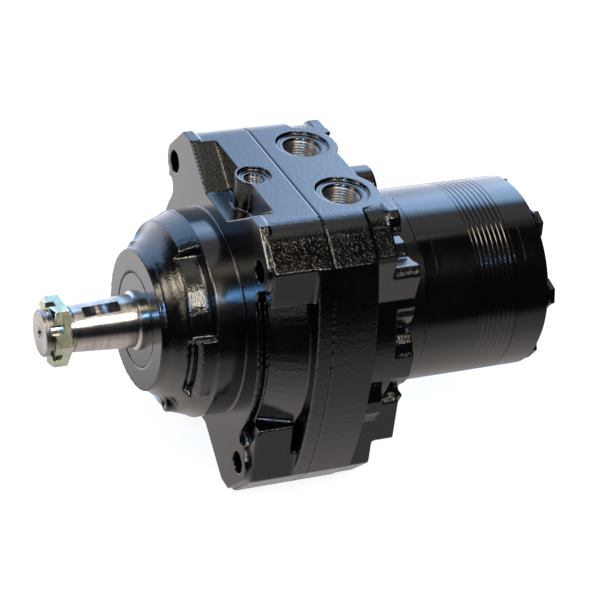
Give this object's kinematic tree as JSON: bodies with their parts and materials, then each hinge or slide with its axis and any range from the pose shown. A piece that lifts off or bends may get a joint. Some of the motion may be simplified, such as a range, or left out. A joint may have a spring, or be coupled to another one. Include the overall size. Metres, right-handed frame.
{
  "type": "hydraulic motor",
  "caption": "Orbital hydraulic wheel motor with a built-in disc brake: lugged square flange with pilot, tapered keyed shaft with slotted nut, ports on top, round rear stack.",
  "frame": {"origin": "on the shaft's axis, in the plane of the mounting face that the four flange ears bolt up by", "axes": "+X runs along the shaft's axis from the output end to the end cover, +Z points out of the ports, +Y completes the right-handed set"},
  "size_m": [0.3183, 0.188, 0.1864],
  "materials": {
    "black_casting": "gloss black paint over cast iron",
    "black_steel": "gloss black paint over machined steel",
    "black_seal": "satin",
    "shaft_steel": "turned and ground",
    "nut_zinc": "yellow-green zinc plate",
    "washer_steel": "plain",
    "rubber": "matt",
    "bearing_steel": "ground",
    "friction_lining": "sintered lining, matt",
    "plate_steel": "plain",
    "spring_steel": "phosphated",
    "hardened_steel": "ground"
  },
  "bodies": {
    "housing": {"brake_housing": "black_casting", "port_housing": "black_casting", "dust_seal": "black_seal", "backup_washer": "washer_steel", "shaft_seal": "rubber", "front_bearing_cup": "bearing_steel", "rear_bearing_race": "bearing_steel", "brake_plates": "plate_steel", "joint_seal": "rubber", "housing_screws": "black_steel", "wear_plate": "black_steel", "stator_ring": "black_steel", "manifold_plates": "black_steel", "commutator_ring": "black_steel", "commutator_seal": "rubber", "end_cover": "black_casting", "stack_seals": "rubber", "stack_bolts": "black_steel", "brake_springs": "spring_steel"},
    "shaft": {"output_shaft": "shaft_steel", "slotted_nut": "nut_zinc", "front_bearing_cone": "bearing_steel", "friction_discs": "friction_lining"},
    "piston": {"brake_piston": "hardened_steel", "piston_seals": "rubber"},
    "front_rollers": {"front_bearing_rollers": "bearing_steel"},
    "rear_rollers": {"rear_bearing_rollers": "bearing_steel"},
    "orbit": {"commutator": "hardened_steel"},
    "rotor": {"rotor": "hardened_steel"},
    "link": {"drive_link": "hardened_steel"},
    "roller_1": {"roller_1": "bearing_steel"},
    "roller_2": {"roller_2": "bearing_steel"},
    "roller_3": {"roller_3": "bearing_steel"},
    "roller_4": {"roller_4": "bearing_steel"},
    "roller_5": {"roller_5": "bearing_steel"},
    "roller_6": {"roller_6": "bearing_steel"},
    "roller_7": {"roller_7": "bearing_steel"}
  },
  "joints": [
    {"name": "shaft_spin", "type": "hinge", "parent": "housing", "child": "shaft", "pos_m": [0, 0, 0], "axis": [1, 0, 0], "continuous": true},
    {"name": "brake_release", "type": "slide", "parent": "housing", "child": "piston", "axis": [1, 0, 0], "range_m": [0, 0.0015], "deforming": ["brake_springs"]},
    {"name": "front_bearing_turn", "type": "hinge", "parent": "housing", "child": "front_rollers", "pos_m": [-0.0166, 0, 0], "axis": [1, 0, 0], "continuous": true},
    {"name": "rear_bearing_turn", "type": "hinge", "parent": "housing", "child": "rear_rollers", "pos_m": [0.0505, 0, 0], "axis": [1, 0, 0], "continuous": true},
    {"name": "orbit_turn", "type": "hinge", "parent": "housing", "child": "orbit", "pos_m": [0.187, 0, 0], "axis": [1, 0, 0], "continuous": true},
    {"name": "rotor_turn", "type": "hinge", "parent": "orbit", "child": "rotor", "pos_m": [0.1436, 0.0032, 0], "axis": [1, 0, 0], "continuous": true},
    {"name": "link_turn", "type": "hinge", "parent": "orbit", "child": "link", "pos_m": [0.038, 0, 0], "axis": [0.9995, 0.0305, 0], "continuous": true},
    {"name": "roller_1_turn", "type": "hinge", "parent": "housing", "child": "roller_1", "pos_m": [0.1436, 0.034, 0], "axis": [1, 0, 0], "continuous": true},
    {"name": "roller_2_turn", "type": "hinge", "parent": "housing", "child": "roller_2", "pos_m": [0.1436, 0.0212, 0.02658], "axis": [1, 0, 0], "continuous": true},
    {"name": "roller_3_turn", "type": "hinge", "parent": "housing", "child": "roller_3", "pos_m": [0.1436, -0.00757, 0.03315], "axis": [1, 0, 0], "continuous": true},
    {"name": "roller_4_turn", "type": "hinge", "parent": "housing", "child": "roller_4", "pos_m": [0.1436, -0.03063, 0.01475], "axis": [1, 0, 0], "continuous": true},
    {"name": "roller_5_turn", "type": "hinge", "parent": "housing", "child": "roller_5", "pos_m": [0.1436, -0.03063, -0.01475], "axis": [1, 0, 0], "continuous": true},
    {"name": "roller_6_turn", "type": "hinge", "parent": "housing", "child": "roller_6", "pos_m": [0.1436, -0.00757, -0.03315], "axis": [1, 0, 0], "continuous": true},
    {"name": "roller_7_turn", "type": "hinge", "parent": "housing", "child": "roller_7", "pos_m": [0.1436, 0.0212, -0.02658], "axis": [1, 0, 0], "continuous": true}
  ],
  "couplings": [
    {"joint": "front_bearing_turn", "follows": "shaft_spin", "ratio": 0.44},
    {"joint": "rear_bearing_turn", "follows": "shaft_spin", "ratio": 0.46},
    {"joint": "orbit_turn", "follows": "shaft_spin", "ratio": -6},
    {"joint": "rotor_turn", "follows": "shaft_spin", "ratio": 7},
    {"joint": "link_turn", "follows": "shaft_spin", "ratio": 7},
    {"joint": "roller_1_turn", "follows": "shaft_spin", "ratio": -3.5},
    {"joint": "roller_2_turn", "follows": "shaft_spin", "ratio": -3.5},
    {"joint": "roller_3_turn", "follows": "shaft_spin", "ratio": -3.5},
    {"joint": "roller_4_turn", "follows": "shaft_spin", "ratio": -3.5},
    {"joint": "roller_5_turn", "follows": "shaft_spin", "ratio": -3.5},
    {"joint": "roller_6_turn", "follows": "shaft_spin", "ratio": -3.5},
    {"joint": "roller_7_turn", "follows": "shaft_spin", "ratio": -3.5}
  ]
}
